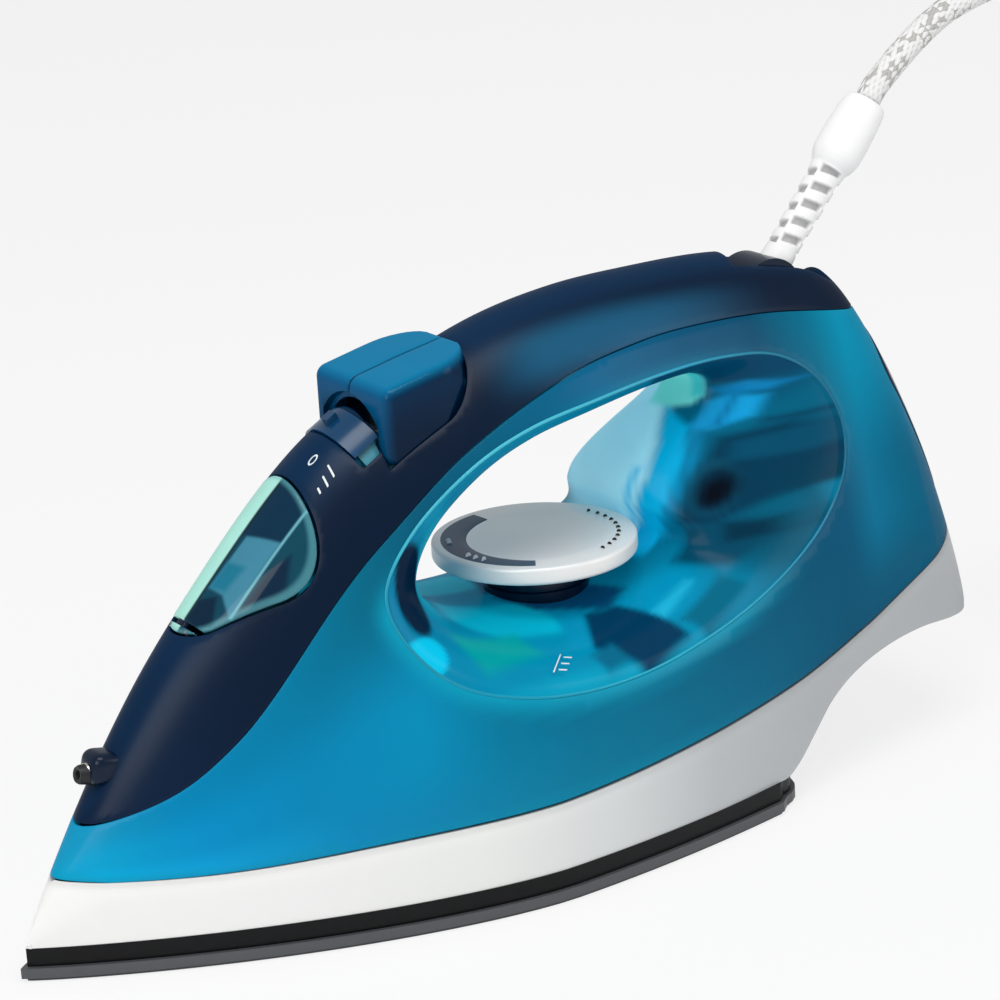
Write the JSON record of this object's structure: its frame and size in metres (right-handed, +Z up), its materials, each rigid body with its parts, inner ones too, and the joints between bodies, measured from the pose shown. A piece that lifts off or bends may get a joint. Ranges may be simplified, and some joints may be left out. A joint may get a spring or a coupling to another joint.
{
  "type": "clothes iron",
  "caption": "Steam iron with a pointed dark soleplate, translucent blue water tank, closed loop handle, temperature dial, spray and steam buttons, and a woven mains lead on a swivel.",
  "frame": {"origin": "centre of the iron's footprint box, on the surface that the soleplate rests on", "axes": "+X from the nose to the heel, +Y to the iron's right side seen from the nose looking back, +Z up"},
  "size_m": [0.4645, 0.1608, 0.2099],
  "materials": {
    "sole_coating": "dark grey non-stick coating, satin, with a polished rim",
    "cast_alloy": "as-cast alloy",
    "steel": "bright steel",
    "element_sheath": "grey sheathed element",
    "terminal_metal": "nickel plated",
    "ceramic": "off-white ceramic",
    "black_plastic": "black heat-resistant plastic",
    "grey_plastic": "light grey plastic with a soft gloss",
    "blue_clear": "translucent blue tank plastic",
    "navy_plastic": "glossy dark navy plastic",
    "tank_clear": "translucent blue plastic",
    "black_rubber": "black sealing rubber",
    "silver_plastic": "warm silver lacquer",
    "teal_clear": "translucent teal plastic",
    "teal_gloss": "glossy dark teal plastic",
    "white_plastic": "white plastic",
    "clear_tube": "milky silicone hose",
    "lamp_lens": "light green lens",
    "lamp_glow": "neon lamp",
    "white_rubber": "soft white sleeve",
    "wire_sleeve": "insulated wires",
    "woven_cord": "white woven lead with grey flecks"
  },
  "bodies": {
    "root": {"soleplate": "sole_coating", "sole_casting": "cast_alloy", "chamber_cover": "steel", "heating_element": "element_sheath", "element_terminals": "terminal_metal", "thermostat": "ceramic", "thermal_fuse": "ceramic", "heat_band": "black_plastic", "heat_shield": "steel", "skirt": "grey_plastic", "body_shell": "blue_clear", "top_cover": "navy_plastic", "rear_cover": "navy_plastic", "tank_floor": "tank_clear", "shaft_seal": "black_rubber", "dial_collar": "navy_plastic", "fill_door_pin": "steel", "fill_funnel": "teal_clear", "spray_nozzle": "navy_plastic", "nozzle_tip": "terminal_metal", "spray_pump": "white_plastic", "steam_pump": "white_plastic", "spray_spring": "steel", "steam_spring": "steel", "spray_tube": "clear_tube", "steam_tube": "clear_tube", "control_track": "navy_plastic", "valve_seat": "black_rubber", "pilot_lens": "lamp_lens", "pilot_lamp": "lamp_glow", "swivel_bracket": "black_plastic", "terminal_block": "white_plastic", "lead_wires": "wire_sleeve", "sole_screws": "steel", "housing_screws": "steel", "rear_screw": "steel", "cord_tube": "woven_cord", "cord_coil": "woven_cord", "cord_tail": "woven_cord", "plug_body": "white_plastic", "plug_pins": "terminal_metal"},
    "dial": {"dial": "silver_plastic", "dial_shaft": "steel"},
    "spray_button": {"spray_button": "teal_gloss", "spray_piston": "black_rubber"},
    "steam_button": {"steam_button": "teal_gloss", "steam_piston": "black_rubber"},
    "steam_control": {"steam_control": "teal_gloss"},
    "valve": {"valve_rod": "steel"},
    "fill_door": {"fill_door": "teal_clear"},
    "cord_swivel": {"swivel_drum": "black_plastic", "strain_relief": "white_rubber"}
  },
  "joints": [
    {"name": "dial_turn", "type": "hinge", "parent": "root", "child": "dial", "pos_m": [0.013, 0, 0.078], "axis": [0, 0, 1], "range_deg": [-135, 135]},
    {"name": "spray_press", "type": "slide", "parent": "root", "child": "spray_button", "axis": [0, 0, -1], "range_m": [0, 0.0036], "stiffness_N_per_m": 600, "springref_m": -0.003, "deforming": ["spray_spring"]},
    {"name": "steam_press", "type": "slide", "parent": "root", "child": "steam_button", "axis": [0, 0, -1], "range_m": [0, 0.0036], "stiffness_N_per_m": 600, "springref_m": -0.003, "deforming": ["steam_spring"]},
    {"name": "control_turn", "type": "hinge", "parent": "root", "child": "steam_control", "pos_m": [-0.04042, 0, 0.11277], "axis": [0.8781, 0, 0.4786], "range_deg": [-20, 20]},
    {"name": "valve_lift", "type": "slide", "parent": "root", "child": "valve", "axis": [0, 0, 1], "range_m": [-0.0015, 0.0015]},
    {"name": "door_open", "type": "hinge", "parent": "root", "child": "fill_door", "pos_m": [-0.0965, 0, 0.08163], "axis": [0, -1, 0], "range_deg": [0, 75]},
    {"name": "cord_swivel_turn", "type": "hinge", "parent": "root", "child": "cord_swivel", "pos_m": [0.092, 0, 0.1326], "axis": [0, -1, 0], "range_deg": [-15, 30]}
  ],
  "couplings": [
    {"joint": "control_turn", "follows": "valve_lift", "rad_per_m": 232.71}
  ]
}
